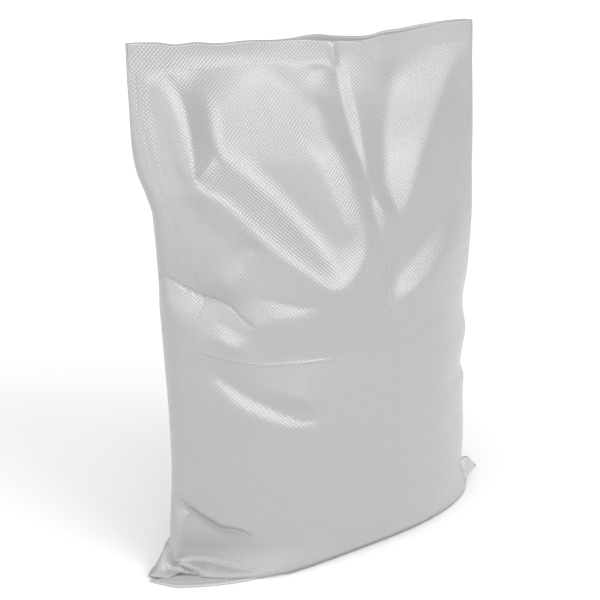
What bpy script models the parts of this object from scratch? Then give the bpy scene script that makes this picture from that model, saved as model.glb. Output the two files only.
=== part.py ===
"""Open-mouth sack of laminated woven polypropylene, filled and standing on its sewn bottom.

Metres, +Z up. The origin is on the floor under the middle of the sack, +X runs along both seams
and -Y is the front. The sack is one seamless woven tube: turned in and sewn at the mouth, folded
over and sewn at the bottom, with loose bulk goods in its lower half and a slack neck above them.
"""

import math

import bmesh
import bpy

for left_over in list(bpy.data.objects):
    bpy.data.objects.remove(left_over)

# The flat sack, as it leaves the sewing table
FLAT_WIDTH = 0.510
HEM_DEPTH = 0.036
HEM_STITCH_DROP = 0.031
SEAM_FOLD_WIDTH = 0.025
SEAM_STITCH_INSET = 0.008
FABRIC_WALL = 0.0010
HEM_LAYER = 0.0008
SEAM_FOLD_THICK = 0.0024
THREAD_DIAMETER = 0.0006

# The sack as it stands
STANDING_HEIGHT = 0.681
BASE_THICK = 0.0045
FLOOR_FRONT_DEPTH = 0.077
FLOOR_BACK_DEPTH = 0.080
BASE_FRONT_DEPTH = 0.089
BASE_BACK_DEPTH = 0.092
EAR_HEIGHT = 0.045
BELLY_HEIGHT = 0.170
BELLY_FRONT_DEPTH = 0.098
BELLY_BACK_DEPTH = 0.104
FILL_HEIGHT = 0.330
HEAP_RISE = 0.030
SHOULDER_FRONT_DEPTH = 0.088
SHOULDER_BACK_DEPTH = 0.090
NECK_HEIGHT = 0.520
NECK_DEPTH = 0.046
MOUTH_GAPE = 0.024
MOUTH_LEAN = 0.047
MOUTH_TILT = 0.012
MOUTH_SAG = 0.004
MOUTH_SHIFT = 0.008
BASE_SKEW = 0.23
SEAM_BOW = 0.085
SEAM_NEAR_POST_SHARE = 0.66
SEAM_FAR_POST_SHARE = 0.24
SEAM_FAR_BOW_SHARE = 1.3
FLOOR_FULLNESS = 0.70
EAR_FULLNESS = 0.55
BASE_FULLNESS = 0.50
BELLY_FULLNESS = 0.45
SHOULDER_FULLNESS = 0.35
NECK_FULLNESS = 0.20
MOUTH_FULLNESS = 0.10

# Slack folds of the front, between the goods and the hem: half breadth, then a path of places, each a share
# of the half width across, a share of the way up from the goods to the hem, and the rise to the front
FRONT_FOLDS = {
    "left ridge": (
        0.028,
        ((-0.79, 0.99, 0.002), (-0.74, 0.95, 0.008), (-0.70, 0.85, 0.013), (-0.70, 0.77, 0.015),
         (-0.71, 0.62, 0.014), (-0.58, 0.52, 0.015), (-0.40, 0.35, 0.014), (-0.29, 0.27, 0.016),
         (-0.15, 0.18, 0.018), (-0.07, 0.155, 0.018)),
    ),
    "left valley": (
        0.028,
        ((-0.58, 0.93, -0.005), (-0.58, 0.85, -0.008), (-0.57, 0.72, -0.008), (-0.50, 0.67, -0.007),
         (-0.41, 0.62, -0.006), (-0.30, 0.54, -0.005), (-0.20, 0.42, -0.002)),
    ),
    "broad crest": (
        0.048,
        ((-0.28, 1.00, 0.002), (-0.20, 0.94, 0.010), (-0.12, 0.83, 0.016), (-0.03, 0.71, 0.020),
         (0.03, 0.57, 0.021), (0.08, 0.40, 0.021), (0.09, 0.30, 0.019), (-0.04, 0.17, 0.018)),
    ),
    "narrow ridge": (
        0.024,
        ((0.18, 0.98, 0.003), (0.19, 0.85, 0.006), (0.18, 0.70, 0.007), (0.17, 0.40, 0.008)),
    ),
    "right hollow": (0.030, ((0.44, 0.93, -0.004), (0.37, 0.78, -0.004), (0.31, 0.67, -0.003))),
    "right crest": (
        0.034,
        ((0.80, 0.93, 0.003), (0.72, 0.84, 0.006), (0.62, 0.75, 0.008), (0.44, 0.55, 0.008),
         (0.35, 0.45, 0.006)),
    ),
    "right valley": (
        0.024,
        ((0.78, 0.80, -0.003), (0.58, 0.50, -0.003), (0.46, 0.40, -0.004), (0.24, 0.15, -0.005)),
    ),
    "right sweep": (
        0.028,
        ((0.77, 0.31, 0.003), (0.70, 0.26, 0.006), (0.62, 0.20, 0.010), (0.52, 0.16, 0.013),
         (0.33, 0.115, 0.012)),
    ),
    "waist valley": (
        0.024,
        ((-0.95, 0.25, -0.008), (-0.83, 0.19, -0.011), (-0.72, 0.16, -0.010), (-0.62, 0.10, -0.004)),
    ),
}
FADE_ACROSS_SHARE = 0.10
FADE_UP_SHARE = 0.08

# Clearances and the shares of the girth that creases take up
TOUCH_GAP = 0.0003
CREASE_END_RADIUS = 0.0065
EAR_OVERHANG = 0.006
BODY_CREASE_SHARE = 0.0
NECK_CREASE_SHARE = 0.010
MOUTH_CREASE_SHARE = 0.018

# Facets
FRONT_STEPS = 34
BACK_STEPS = 14
END_STEPS = 4
BODY_ROWS = 5
NECK_ROWS = 18
EAR_ROW_SHARES = (0.3, 0.6, 1.0, 1.5)
RELIEF_OVERRUN_SHARE = 0.02
SHARP_ANGLE = math.radians(40)
SEAM_STEPS = 40
HEAP_STEPS = 4


def collection(name):
    made = bpy.data.collections.new(name)
    bpy.context.scene.collection.children.link(made)
    return made


def material(name, colour, roughness):
    made = bpy.data.materials.new(name)
    made.use_nodes = True
    shader = made.node_tree.nodes["Principled BSDF"]
    shader.inputs["Base Color"].default_value = (*colour, 1.0)
    shader.inputs["Roughness"].default_value = roughness
    shader.inputs["Metallic"].default_value = 0.0
    return made


def arc_points(half, depth, fullness, skew, offset, side, steps):
    """One panel of a section, left to right: a crowned curve from crease to crease, moved out by offset.

    side is -1 for the front panel and +1 for the back one. fullness runs from 0, a parabola, to 1, flat
    with round shoulders. skew moves the crown's depth over to the left.
    """
    points = []
    for step in range(steps + 1):
        s = 2 * step / steps - 1
        crown = (1 - s * s) * (1 + fullness * s * s)
        steepness = 2 * s * (fullness - 1) - 4 * fullness * s**3
        slope = depth / half * (steepness * (1 - skew * s) - crown * skew)
        length = math.hypot(1, slope)
        reach = depth * crown * (1 - skew * s)
        points.append((half * s - offset * slope / length, side * (reach + offset / length)))
    return points


def end_points(tip, last, first):
    """The round of a side crease about its tip, from the last point of one panel to the first of the next."""
    start = math.atan2(last[1], last[0] - tip)
    sweep = (math.atan2(first[1], first[0] - tip) - start) % (2 * math.pi)
    radius = math.hypot(last[0] - tip, last[1])
    turns = [start + sweep * step / END_STEPS for step in range(1, END_STEPS)]
    return [(tip + radius * math.cos(turn), radius * math.sin(turn)) for turn in turns]


def section(half, front, back, fullness, skew, inset):
    """A closed horizontal section, counter-clockwise: front panel, right crease, back panel, left crease."""
    offset = CREASE_END_RADIUS - inset
    tip = half - CREASE_END_RADIUS
    front_arc = arc_points(tip, front - CREASE_END_RADIUS, fullness, skew, offset, -1, FRONT_STEPS)
    back_arc = arc_points(tip, back - CREASE_END_RADIUS, fullness, -skew, offset, 1, BACK_STEPS)[::-1]
    right = end_points(tip, front_arc[-1], back_arc[0])
    left = end_points(-tip, back_arc[-1], front_arc[0])
    return front_arc + right + back_arc + left


def girth(points):
    return sum(math.dist(a, b) for a, b in zip(points, points[1:] + points[:1]))


def half_width(front, back, fullness, skew, crease_share):
    """The half width at which the fabric's girth, less what creases take up, goes round the section once."""
    wanted = 2 * FLAT_WIDTH * (1 - crease_share)
    low = 2 * CREASE_END_RADIUS
    high = FLAT_WIDTH
    for _ in range(50):
        middle = (low + high) / 2
        if girth(section(middle, front, back, fullness, skew, 0)) < wanted:
            low = middle
        else:
            high = middle
    return middle


def station(height, front, back, fullness, skew, crease_share):
    return height, half_width(front, back, fullness, skew, crease_share), front, back, fullness, skew


# Heights at which the section is set: half width, front depth, back depth, fullness and skew
MOUTH_DEPTH = MOUTH_GAPE / 2
HEM_FOOT = STANDING_HEIGHT - HEM_DEPTH
BODY_FOOT = 2 * EAR_HEIGHT
STATIONS = (
    (0.0, FLAT_WIDTH / 2 + EAR_OVERHANG, FLOOR_FRONT_DEPTH, FLOOR_BACK_DEPTH, FLOOR_FULLNESS, BASE_SKEW),
    station(EAR_HEIGHT, BASE_FRONT_DEPTH, BASE_BACK_DEPTH, EAR_FULLNESS, 0.0, BODY_CREASE_SHARE),
    station(BODY_FOOT, BASE_FRONT_DEPTH, BASE_BACK_DEPTH, BASE_FULLNESS, 0.0, BODY_CREASE_SHARE),
    station(BELLY_HEIGHT, BELLY_FRONT_DEPTH, BELLY_BACK_DEPTH, BELLY_FULLNESS, 0.0, BODY_CREASE_SHARE),
    station(
        FILL_HEIGHT, SHOULDER_FRONT_DEPTH, SHOULDER_BACK_DEPTH, SHOULDER_FULLNESS, 0.0, BODY_CREASE_SHARE
    ),
    station(NECK_HEIGHT, NECK_DEPTH, NECK_DEPTH, NECK_FULLNESS, 0.0, NECK_CREASE_SHARE),
    station(HEM_FOOT, MOUTH_DEPTH, MOUTH_DEPTH, MOUTH_FULLNESS, 0.0, MOUTH_CREASE_SHARE),
    station(STANDING_HEIGHT, MOUTH_DEPTH, MOUTH_DEPTH, MOUTH_FULLNESS, 0.0, MOUTH_CREASE_SHARE),
)


def tangent(index, column):
    """Slope of a station column, level at both ends and wherever the column turns back."""
    if index in (0, len(STATIONS) - 1):
        return 0.0
    before, here, after = STATIONS[index - 1 : index + 2]
    rise_in = (here[column] - before[column]) / (here[0] - before[0])
    rise_out = (after[column] - here[column]) / (after[0] - here[0])
    if rise_in * rise_out <= 0:
        return 0.0
    return 2 * rise_in * rise_out / (rise_in + rise_out)


def at_height(height):
    """Half width, front depth, back depth, fullness and skew at a height, eased from station to station."""
    index = 0
    while index < len(STATIONS) - 2 and height > STATIONS[index + 1][0]:
        index += 1
    low, high = STATIONS[index], STATIONS[index + 1]
    span = high[0] - low[0]
    t = (height - low[0]) / span
    rise = t * t * (3 - 2 * t)
    values = []
    for column in range(1, len(low)):
        lead = (t**3 - 2 * t * t + t) * span * tangent(index, column)
        trail = (t**3 - t * t) * span * tangent(index + 1, column)
        values.append(low[column] + (high[column] - low[column]) * rise + lead + trail)
    return values


def slackness(height):
    """0 up to the belly, 1 at the mouth: how far the slack upper part leans and sags."""
    t = max(0.0, (height - BELLY_HEIGHT) / (STANDING_HEIGHT - BELLY_HEIGHT))
    return t * t


def fold_bump(half_breadth, path, place):
    """Rise of one fold at a place on the front, full on its path and gone at its half breadth."""
    scale = (FLAT_WIDTH / 2, HEM_FOOT - FILL_HEIGHT)
    best = 0.0
    for start, stop in zip(path, path[1:]):
        run = [(b - a) * size for a, b, size in zip(start, stop, scale)]
        gone = [(p - a) * size for a, p, size in zip(start, place, scale)]
        t = (gone[0] * run[0] + gone[1] * run[1]) / (run[0] ** 2 + run[1] ** 2)
        t = min(1.0, max(0.0, t))
        off = math.dist(gone, (run[0] * t, run[1] * t)) / half_breadth
        bump = (start[2] + (stop[2] - start[2]) * t) * max(0.0, 1 - off * off) ** 2
        if abs(bump) > abs(best):
            best = bump
    return best


def fold_rise(across, height):
    """How far the folds bring the front panel forward; crests don't pile up where they meet."""
    up = (height - FILL_HEIGHT) / (HEM_FOOT - FILL_HEIGHT)
    fade = min(1.0, (1 - abs(across)) / FADE_ACROSS_SHARE, up / FADE_UP_SHARE, (1 - up) / FADE_UP_SHARE)
    if fade <= 0:
        return 0.0
    bumps = [fold_bump(half_breadth, path, (across, up)) for half_breadth, path in FRONT_FOLDS.values()]
    return fade * (max(0.0, *bumps) + min(0.0, *bumps))


def ring(height, inset, most_half=FLAT_WIDTH, drawn_in=1.0):
    """The sack's section at a height, inset from its outer face, with its folds and the neck's lean and sag.

    most_half limits the half width, for goods that don't follow the wall into the ears.
    drawn_in shrinks the section about its own centre, for the goods' heap.
    """
    half, *rest = at_height(height)
    shape = (min(half, most_half), *rest)
    slack = slackness(height)
    points = []
    for x, y in section(*shape, inset):
        across = x / shape[0]
        drop = MOUTH_TILT * (across + 1) / 2 + MOUTH_SAG * (1 - across * across)
        forward = fold_rise(across, height) if y < 0 else 0.0
        moved_y = (y - forward) * drawn_in + MOUTH_LEAN * slack
        points.append((x * drawn_in + MOUTH_SHIFT * slack, moved_y, height - drop * slack))
    return points


def loft(name, loops, finish, into, ring_shaped=False):
    """A closed solid through loops of equal count: capped at both ends, or joined last to first.

    Each band is split along the same diagonal, which runs with the broad folds, so that nested skins
    keep an even gap.
    """
    mesh = bmesh.new()
    rows = [[mesh.verts.new(point) for point in loop] for loop in loops]
    pairs = list(zip(rows, rows[1:]))
    if ring_shaped:
        pairs.append((rows[-1], rows[0]))
    else:
        mesh.faces.new(rows[0])
        mesh.faces.new(rows[-1])
    for pair in pairs:
        low, high = sorted(pair, key=lambda row: row[0].co.z)
        for i in range(len(low)):
            j = (i + 1) % len(low)
            mesh.faces.new((low[i], low[j], high[i]))
            mesh.faces.new((low[j], high[j], high[i]))
    bmesh.ops.recalc_face_normals(mesh, faces=mesh.faces)
    data = bpy.data.meshes.new(name)
    mesh.to_mesh(data)
    mesh.free()
    data.shade_smooth()
    data.set_sharp_from_angle(angle=SHARP_ANGLE)
    data.materials.append(finish)
    made = bpy.data.objects.new(name, data)
    into.objects.link(made)
    return made


def thread(name, points, closed, finish, into):
    """A sewing thread along points: a round cord, capped where it is cut."""
    data = bpy.data.curves.new(name, "CURVE")
    data.dimensions = "3D"
    data.bevel_depth = THREAD_DIAMETER / 2
    data.bevel_resolution = 1
    data.use_fill_caps = True
    spline = data.splines.new("POLY")
    spline.points.add(len(points) - 1)
    spline.use_cyclic_u = closed
    for held, point in zip(spline.points, points):
        held.co = (*point, 1.0)
    data.materials.append(finish)
    made = bpy.data.objects.new(name, data)
    into.objects.link(made)
    return made


def seam_frame(t):
    """Point and outward side of the bottom seam at t, 0 at the left ear and 1 at the right one.

    The seam lies straight when the sack is flat. Standing, it bows out in front of the base on the left.
    """
    reach = FLAT_WIDTH / 2
    near_post = (-SEAM_NEAR_POST_SHARE * reach, -SEAM_BOW)
    far_post = (-SEAM_FAR_POST_SHARE * reach, -SEAM_FAR_BOW_SHARE * SEAM_BOW)
    posts = ((-reach, 0), near_post, far_post, (reach, 0))
    u = 1 - t
    weights = (u**3, 3 * u * u * t, 3 * u * t * t, t**3)
    point = [sum(w * post[axis] for w, post in zip(weights, posts)) for axis in (0, 1)]
    slopes = (u * u, 2 * u * t, t * t)
    run = [sum(w * (b[axis] - a[axis]) for w, a, b in zip(slopes, posts, posts[1:])) for axis in (0, 1)]
    length = math.hypot(*run)
    return point, (run[1] / length, -run[0] / length)


def along_seam(t, side, height):
    point, outward = seam_frame(t)
    return point[0] + outward[0] * side, point[1] + outward[1] * side, height


def seam_sweep(outline, overrun=0.0):
    """Copies of a cross-section outline, (side, height) pairs, all along the bottom seam."""
    steps = [step / SEAM_STEPS for step in range(SEAM_STEPS + 1)]
    steps[0] -= overrun
    steps[-1] += overrun
    return [[along_seam(t, side, height) for side, height in outline] for t in steps]


parts = collection("filled_woven_sack")
cutters = collection("cutters")
cutters.hide_render = True

fabric = material("laminated_woven_polypropylene", (0.66, 0.66, 0.66), 0.34)
hem_fabric = material("turned_hem_fabric", (0.60, 0.60, 0.60), 0.38)
seam_fabric = material("folded_seam_fabric", (0.62, 0.62, 0.62), 0.36)
sewing_thread = material("white_polyester_thread", (0.78, 0.78, 0.77), 0.60)
looper_thread = material("white_looper_thread", (0.76, 0.76, 0.75), 0.60)
goods = material("loose_granular_goods", (0.52, 0.50, 0.46), 0.85)

# Woven tube: outer skin from the floor to the mouth, over the rim and down the inner skin to the base
stitch_height = STANDING_HEIGHT - HEM_STITCH_DROP
ear_rows = [BASE_THICK, *[share * EAR_HEIGHT for share in EAR_ROW_SHARES]]
body_rows = [BODY_FOOT + (FILL_HEIGHT - BODY_FOOT) * row / BODY_ROWS for row in range(BODY_ROWS)]
neck_rows = [FILL_HEIGHT + (HEM_FOOT - FILL_HEIGHT) * row / NECK_ROWS for row in range(NECK_ROWS + 1)]
wall_rows = ear_rows + body_rows + neck_rows + [stitch_height, STANDING_HEIGHT]
outer = [ring(height, 0.0) for height in [0.0, *wall_rows]]
inner = [ring(height, FABRIC_WALL) for height in reversed(wall_rows)]
tube = loft("sack_tube", outer + inner, fabric, parts)

# The base is relieved where the folded bottom seam lies under it
seam_foot = TOUCH_GAP
seam_top = seam_foot + SEAM_FOLD_THICK
relief_half = SEAM_FOLD_WIDTH / 2 + TOUCH_GAP
relief_top = seam_top + TOUCH_GAP
relief = [(-relief_half, -relief_top), (relief_half, -relief_top)]
relief += [(relief_half, relief_top), (-relief_half, relief_top)]
relief_cutter = loft("seam_relief", seam_sweep(relief, overrun=RELIEF_OVERRUN_SHARE), fabric, cutters)
relief_cutter.hide_render = True
relief_cutter.display_type = "WIRE"
cut = tube.modifiers.new("seam_relief", "BOOLEAN")
cut.operation = "DIFFERENCE"
cut.solver = "EXACT"
cut.object = relief_cutter

# Mouth hem: the turned-in edge of the tube, a second layer all round inside the mouth
hem_rows = [HEM_FOOT, stitch_height, STANDING_HEIGHT]
hem_face = FABRIC_WALL + TOUCH_GAP
hem_back = hem_face + HEM_LAYER
hem_loops = [ring(height, hem_face) for height in hem_rows]
hem_loops += [ring(height, hem_back) for height in reversed(hem_rows)]
loft("mouth_hem_turn", hem_loops, hem_fabric, parts, ring_shaped=True)

# Hem stitching: the needle thread lies on the outer face, the looper thread on the turned layer inside
thread_off = TOUCH_GAP + THREAD_DIAMETER / 2
thread("mouth_needle_thread", ring(stitch_height, -thread_off), True, sewing_thread, parts)
thread("mouth_looper_thread", ring(stitch_height, hem_back + thread_off), True, looper_thread, parts)

# Bottom seam: the tube's end folded over flat, with a furrow on each face where the stitches pull in
fold_half = SEAM_FOLD_WIDTH / 2
stitch_side = fold_half - SEAM_STITCH_INSET
furrow_half = THREAD_DIAMETER / 2 + TOUCH_GAP
furrow_depth = THREAD_DIAMETER + TOUCH_GAP
furrow = ((-furrow_half, 0), (-furrow_half, furrow_depth), (furrow_half, furrow_depth), (furrow_half, 0))
fold_outline = [(-fold_half, seam_foot)]
fold_outline += [(stitch_side + side, seam_foot + depth) for side, depth in furrow]
fold_outline += [(fold_half, seam_foot), (fold_half, seam_top)]
fold_outline += [(stitch_side + side, seam_top - depth) for side, depth in reversed(furrow)]
fold_outline += [(-fold_half, seam_top)]
loft("bottom_seam_fold", seam_sweep(fold_outline), seam_fabric, parts)

# Bottom stitching: a needle thread in the upper furrow and a looper thread in the lower one
seam_steps = [step / SEAM_STEPS for step in range(SEAM_STEPS + 1)]
upper_height = seam_top - THREAD_DIAMETER / 2
lower_height = seam_foot + THREAD_DIAMETER / 2
upper_path = [along_seam(t, stitch_side, upper_height) for t in seam_steps]
lower_path = [along_seam(t, stitch_side, lower_height) for t in seam_steps]
thread("bottom_needle_thread", upper_path, False, sewing_thread, parts)
thread("bottom_looper_thread", lower_path, False, looper_thread, parts)

# Loose goods: they fill the tube from the base to a low heap, and don't run out into the ears
goods_inset = FABRIC_WALL + TOUCH_GAP
goods_foot = BASE_THICK + TOUCH_GAP
goods_half = at_height(BODY_FOOT)[0]
low_rows = [goods_foot, *ear_rows[1:]]
goods_loops = [ring(height, goods_inset + TOUCH_GAP, most_half=goods_half) for height in low_rows]
goods_loops += [ring(height, goods_inset) for height in body_rows]
brim_height = body_rows[-1]
for step in range(1, HEAP_STEPS + 1):
    turn = math.pi / 2 * step / (HEAP_STEPS + 1)
    height = brim_height + (FILL_HEIGHT + HEAP_RISE - brim_height) * math.sin(turn)
    goods_loops.append(ring(height, goods_inset, drawn_in=math.cos(turn)))
loft("bulk_fill", goods_loops, goods, parts)
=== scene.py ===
import math

import bpy
import numpy as np
from mathutils import Matrix


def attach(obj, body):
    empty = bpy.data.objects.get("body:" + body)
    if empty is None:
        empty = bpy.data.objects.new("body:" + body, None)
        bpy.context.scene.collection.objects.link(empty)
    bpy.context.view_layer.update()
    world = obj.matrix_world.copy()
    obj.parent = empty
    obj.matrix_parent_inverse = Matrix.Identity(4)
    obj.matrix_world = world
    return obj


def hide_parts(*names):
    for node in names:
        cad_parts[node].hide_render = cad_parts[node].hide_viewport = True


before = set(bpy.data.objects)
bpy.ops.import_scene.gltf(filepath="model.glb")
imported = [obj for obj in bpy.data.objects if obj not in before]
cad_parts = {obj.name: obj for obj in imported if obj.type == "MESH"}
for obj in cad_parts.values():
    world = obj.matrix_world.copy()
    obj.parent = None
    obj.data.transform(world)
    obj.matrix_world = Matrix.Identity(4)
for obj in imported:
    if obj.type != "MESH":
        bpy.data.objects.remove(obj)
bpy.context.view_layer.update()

# Camera
# A product shot from the front left, a little above the sack. It comes first, because the folds of the
# cloth are drawn below as lines in this picture, which is 600 pixels wide and high.
PICTURE_SIDE = 600
LENS_MM = 75.0
SENSOR_MM = 36.0
CAMERA_AZIMUTH = math.radians(-30.85)
CAMERA_ELEVATION = math.radians(21.15)
CAMERA_DISTANCE = 1.599
LOOK_AT = np.array((-0.0386, 0.0, 0.3431))

backward = np.array((
    math.sin(CAMERA_AZIMUTH) * math.cos(CAMERA_ELEVATION),
    -math.cos(CAMERA_AZIMUTH) * math.cos(CAMERA_ELEVATION),
    math.sin(CAMERA_ELEVATION),
))
rightward = np.array((math.cos(CAMERA_AZIMUTH), math.sin(CAMERA_AZIMUTH), 0.0))
upward = np.cross(backward, rightward)
eye = LOOK_AT + CAMERA_DISTANCE * backward


def in_picture(points):
    """Pixel place, right and down from the upper left corner, of each point in metres."""
    away = points - eye
    scale = LENS_MM / SENSOR_MM * PICTURE_SIDE / -(away @ backward)
    middle = PICTURE_SIDE / 2
    return middle + scale * (away @ rightward), middle - scale * (away @ upward)


camera_data = bpy.data.cameras.new("product_camera")
camera_data.lens = LENS_MM
camera_data.sensor_width = SENSOR_MM
camera = bpy.data.objects.new("product_camera", camera_data)
camera.matrix_world = Matrix((
    (rightward[0], upward[0], backward[0], eye[0]),
    (rightward[1], upward[1], backward[1], eye[1]),
    (rightward[2], upward[2], backward[2], eye[2]),
    (0.0, 0.0, 0.0, 1.0),
))
bpy.context.scene.collection.objects.link(camera)
bpy.context.scene.camera = camera

# Woven tube
# The sack's wall: one seamless tube of flat polypropylene tapes, woven on a circular loom and laminated
# with a thin clear film. It stands on its sewn end, tight round the goods below and slack above them.
MM = 0.001
FLAT_WIDTH = 0.510
HEIGHT = 0.681
TAPES_ROUND = 400
TAPE = 2 * FLAT_WIDTH / TAPES_ROUND
CLOTH_THICK = 0.0012
HEM_STITCH_HEIGHT = HEIGHT - 0.031

# Sections of the tube in millimetres: height, half width, front and back depth, and radius of the ends;
# then how flat the panels are, and how far their depth lies to one side
SECTIONS = (
    (3, 257, 79, 80, 6, 0.90, 0.17),
    (12, 247, 86, 88, 9, 0.85, 0.14),
    (45, 230, 90, 94, 18, 0.70, -0.10),
    (90, 228, 94, 95, 26, 0.55, -0.06),
    (170, 222, 99, 104, 32, 0.45, 0.0),
    (330, 228, 89, 90, 30, 0.35, 0.0),
    (430, 236, 68, 68, 20, 0.30, 0.0),
    (520, 243, 47, 46, 12, 0.20, 0.0),
    (645, 248, 13, 12, 5, 0.10, 0.0),
    (681, 248, 12, 11, 4, 0.10, 0.0),
)
MOUTH_LEAN = 0.047
MOUTH_SHIFT = 0.008
MOUTH_TILT = 0.012
MOUTH_SAG = 0.006
LEAN_FROM = 0.170


def smooth_through(knots, at):
    """Values at some places of a smooth curve through (place, value...) knots that never overshoots them."""
    knots = np.array(knots, float)
    place, value = knots[:, 0], knots[:, 1:]
    rise = np.diff(value, axis=0) / np.diff(place)[:, None]
    slope = np.zeros_like(value)
    same = rise[:-1] * rise[1:] > 0
    both = np.where(same, rise[:-1] + rise[1:], 1.0)
    slope[1:-1] = np.where(same, 2 * rise[:-1] * rise[1:] / both, 0.0)
    at = np.clip(at, place[0], place[-1])
    span = np.clip(np.searchsorted(place, at, side="right") - 1, 0, len(place) - 2)
    wide = (place[span + 1] - place[span])[:, None]
    t = ((at - place[span]) / wide[:, 0])[:, None]
    ease = t * t * (3 - 2 * t)
    lead = (t**3 - 2 * t * t + t) * wide * slope[span]
    trail = (t**3 - t * t) * wide * slope[span + 1]
    return value[span] + (value[span + 1] - value[span]) * ease + lead + trail


def panel_arc(half, depth, flatness, skew, offset, side):
    """One panel of a section from the left to the right, as points moved out by offset."""
    s = np.linspace(-1, 1, 240)
    crown = (1 - s * s) * (1 + flatness * s * s)
    steep = 2 * s * (flatness - 1) - 4 * flatness * s**3
    slope = depth / half * (steep * (1 - skew * s) - crown * skew)
    length = np.hypot(1, slope)
    reach = depth * crown * (1 - skew * s)
    return np.stack([half * s - offset * slope / length, side * (reach + offset / length)], 1)


def end_round(tip, start, stop, count=40):
    """The round end of a section about its tip, between two of its points, going anticlockwise."""
    first = math.atan2(start[1], start[0] - tip)
    sweep = (math.atan2(stop[1], stop[0] - tip) - first) % (2 * math.pi)
    turn = first + sweep * np.linspace(0, 1, count)[1:-1]
    radius = math.hypot(start[0] - tip, start[1])
    return np.stack([tip + radius * np.cos(turn), radius * np.sin(turn)], 1)


def section_ring(half, front, back, radius, flatness, skew, shares):
    """Points of a closed section at shares of its girth, from the left tip along the front and back again."""
    tip = half - radius
    front_arc = panel_arc(tip, front - radius, flatness, skew, radius, -1)
    back_arc = panel_arc(tip, back - radius, flatness, -skew, radius, 1)[::-1]
    right = end_round(tip, front_arc[-1], back_arc[0])
    left_tip = np.array((-half, 0.0))
    left_back = end_round(-tip, back_arc[-1], left_tip)
    left_front = end_round(-tip, left_tip, front_arc[0])
    ring = np.concatenate([[left_tip], left_front, front_arc, right, back_arc, left_back, [left_tip]])
    along = np.concatenate([[0], np.cumsum(np.linalg.norm(np.diff(ring, axis=0), axis=1))])
    at = (shares % 1.0) * along[-1]
    return np.stack([np.interp(at, along, ring[:, 0]), np.interp(at, along, ring[:, 1])], 1)


# Columns are close together on the side that shows its folds, and rows where the cloth is slack
SHOWN_FROM, SHOWN_TO = -0.075, 0.525
shown_shares = np.linspace(SHOWN_FROM, SHOWN_TO, 250, endpoint=False)
hidden_shares = np.linspace(SHOWN_TO, 1 + SHOWN_FROM, 66, endpoint=False)
shares = np.concatenate([shown_shares, hidden_shares])
row_heights = np.concatenate([
    np.linspace(0.003, 0.100, 40, endpoint=False),
    np.linspace(0.100, 0.240, 24, endpoint=False),
    np.linspace(0.240, HEIGHT, 156),
])
shapes = smooth_through(SECTIONS, row_heights / MM)
slack = np.clip((row_heights - LEAN_FROM) / (HEIGHT - LEAN_FROM), 0, None) ** 2
wall = np.zeros((len(row_heights), len(shares), 3))
for row, (half, front, back, radius, flatness, skew) in enumerate(shapes):
    ring = section_ring(half, front, back, radius, flatness, skew, shares) * MM
    across = ring[:, 0] / (half * MM)
    drop = MOUTH_TILT * (across + 1) / 2 + MOUTH_SAG * (1 - across**2)
    wall[row, :, 0] = ring[:, 0] + MOUTH_SHIFT * slack[row]
    wall[row, :, 1] = ring[:, 1] + MOUTH_LEAN * slack[row]
    wall[row, :, 2] = row_heights[row] - drop * slack[row]

# Bulges and dents of the two side edges and of the ears, as height and outward move in millimetres; then
# where each lies and how far it reaches, as shares of the girth
LEFT_EDGE = ((0, 0), (53, 2), (104, 0), (180, 2), (305, 1), (356, 0), (400, -4), (457, -7),
             (482, -8), (507, -3), (535, 5), (560, 7), (608, 5), (660, 3), (681, 2))
RIGHT_EDGE = ((0, 0), (12, 1), (30, 2), (50, 3), (150, 3), (184, 3), (207, -4), (230, -2), (255, 1),
              (290, -6), (304, -7), (348, -2), (420, 0), (500, -3), (620, -3), (681, 0))
LEFT_EAR = ((0, 9), (12, 8), (25, 7), (37, 6), (44, 0))
RIGHT_EAR = ((0, -7), (12, -4), (30, 0))
LEFT_EDGE_AT, RIGHT_EDGE_AT, EDGE_REACH = -0.03, 0.52, 0.16
LEFT_EAR_AT, RIGHT_EAR_AT, EAR_REACH = -0.01, 0.50, 0.05


def near_share(centre, reach):
    """1 at a share of the girth, easing to 0 at a distance of reach."""
    off = np.abs((shares - centre + 0.5) % 1.0 - 0.5) / reach
    return np.clip(1 - off, 0, 1) ** 2 * (1 + 2 * np.clip(off, 0, 1))


for sign, knots, centre, reach in (
    (-1, LEFT_EDGE, LEFT_EDGE_AT, EDGE_REACH), (1, RIGHT_EDGE, RIGHT_EDGE_AT, EDGE_REACH),
    (-1, LEFT_EAR, LEFT_EAR_AT, EAR_REACH), (1, RIGHT_EAR, RIGHT_EAR_AT, EAR_REACH),
):
    moved = smooth_through(knots, row_heights / MM) * MM
    wall += sign * (moved * near_share(centre, reach))[:, :, None] * rightward

# At the front left the foot stands back, so that the sewn end shows in front of it: place across and
# amount in millimetres, easing in from the left tip over a share of the girth
FOOT_BACK = ((-260, 4), (-230, 12), (-205, 16), (-190, 13), (-170, 9), (-147, 5), (-116, 1), (-100, 0))
FOOT_HIGH = 0.200
FOOT_EASE = 0.03
foot_back = smooth_through(FOOT_BACK, wall[:, :, 0].ravel() / MM).reshape(wall.shape[:2]) * MM
foot_back *= np.where(shares < 0.5, np.clip(shares / FOOT_EASE, 0, 1), 0)
wall[:, :, 1] += foot_back * np.clip(1 - row_heights[:, None] / FOOT_HIGH, 0, 1)

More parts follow.
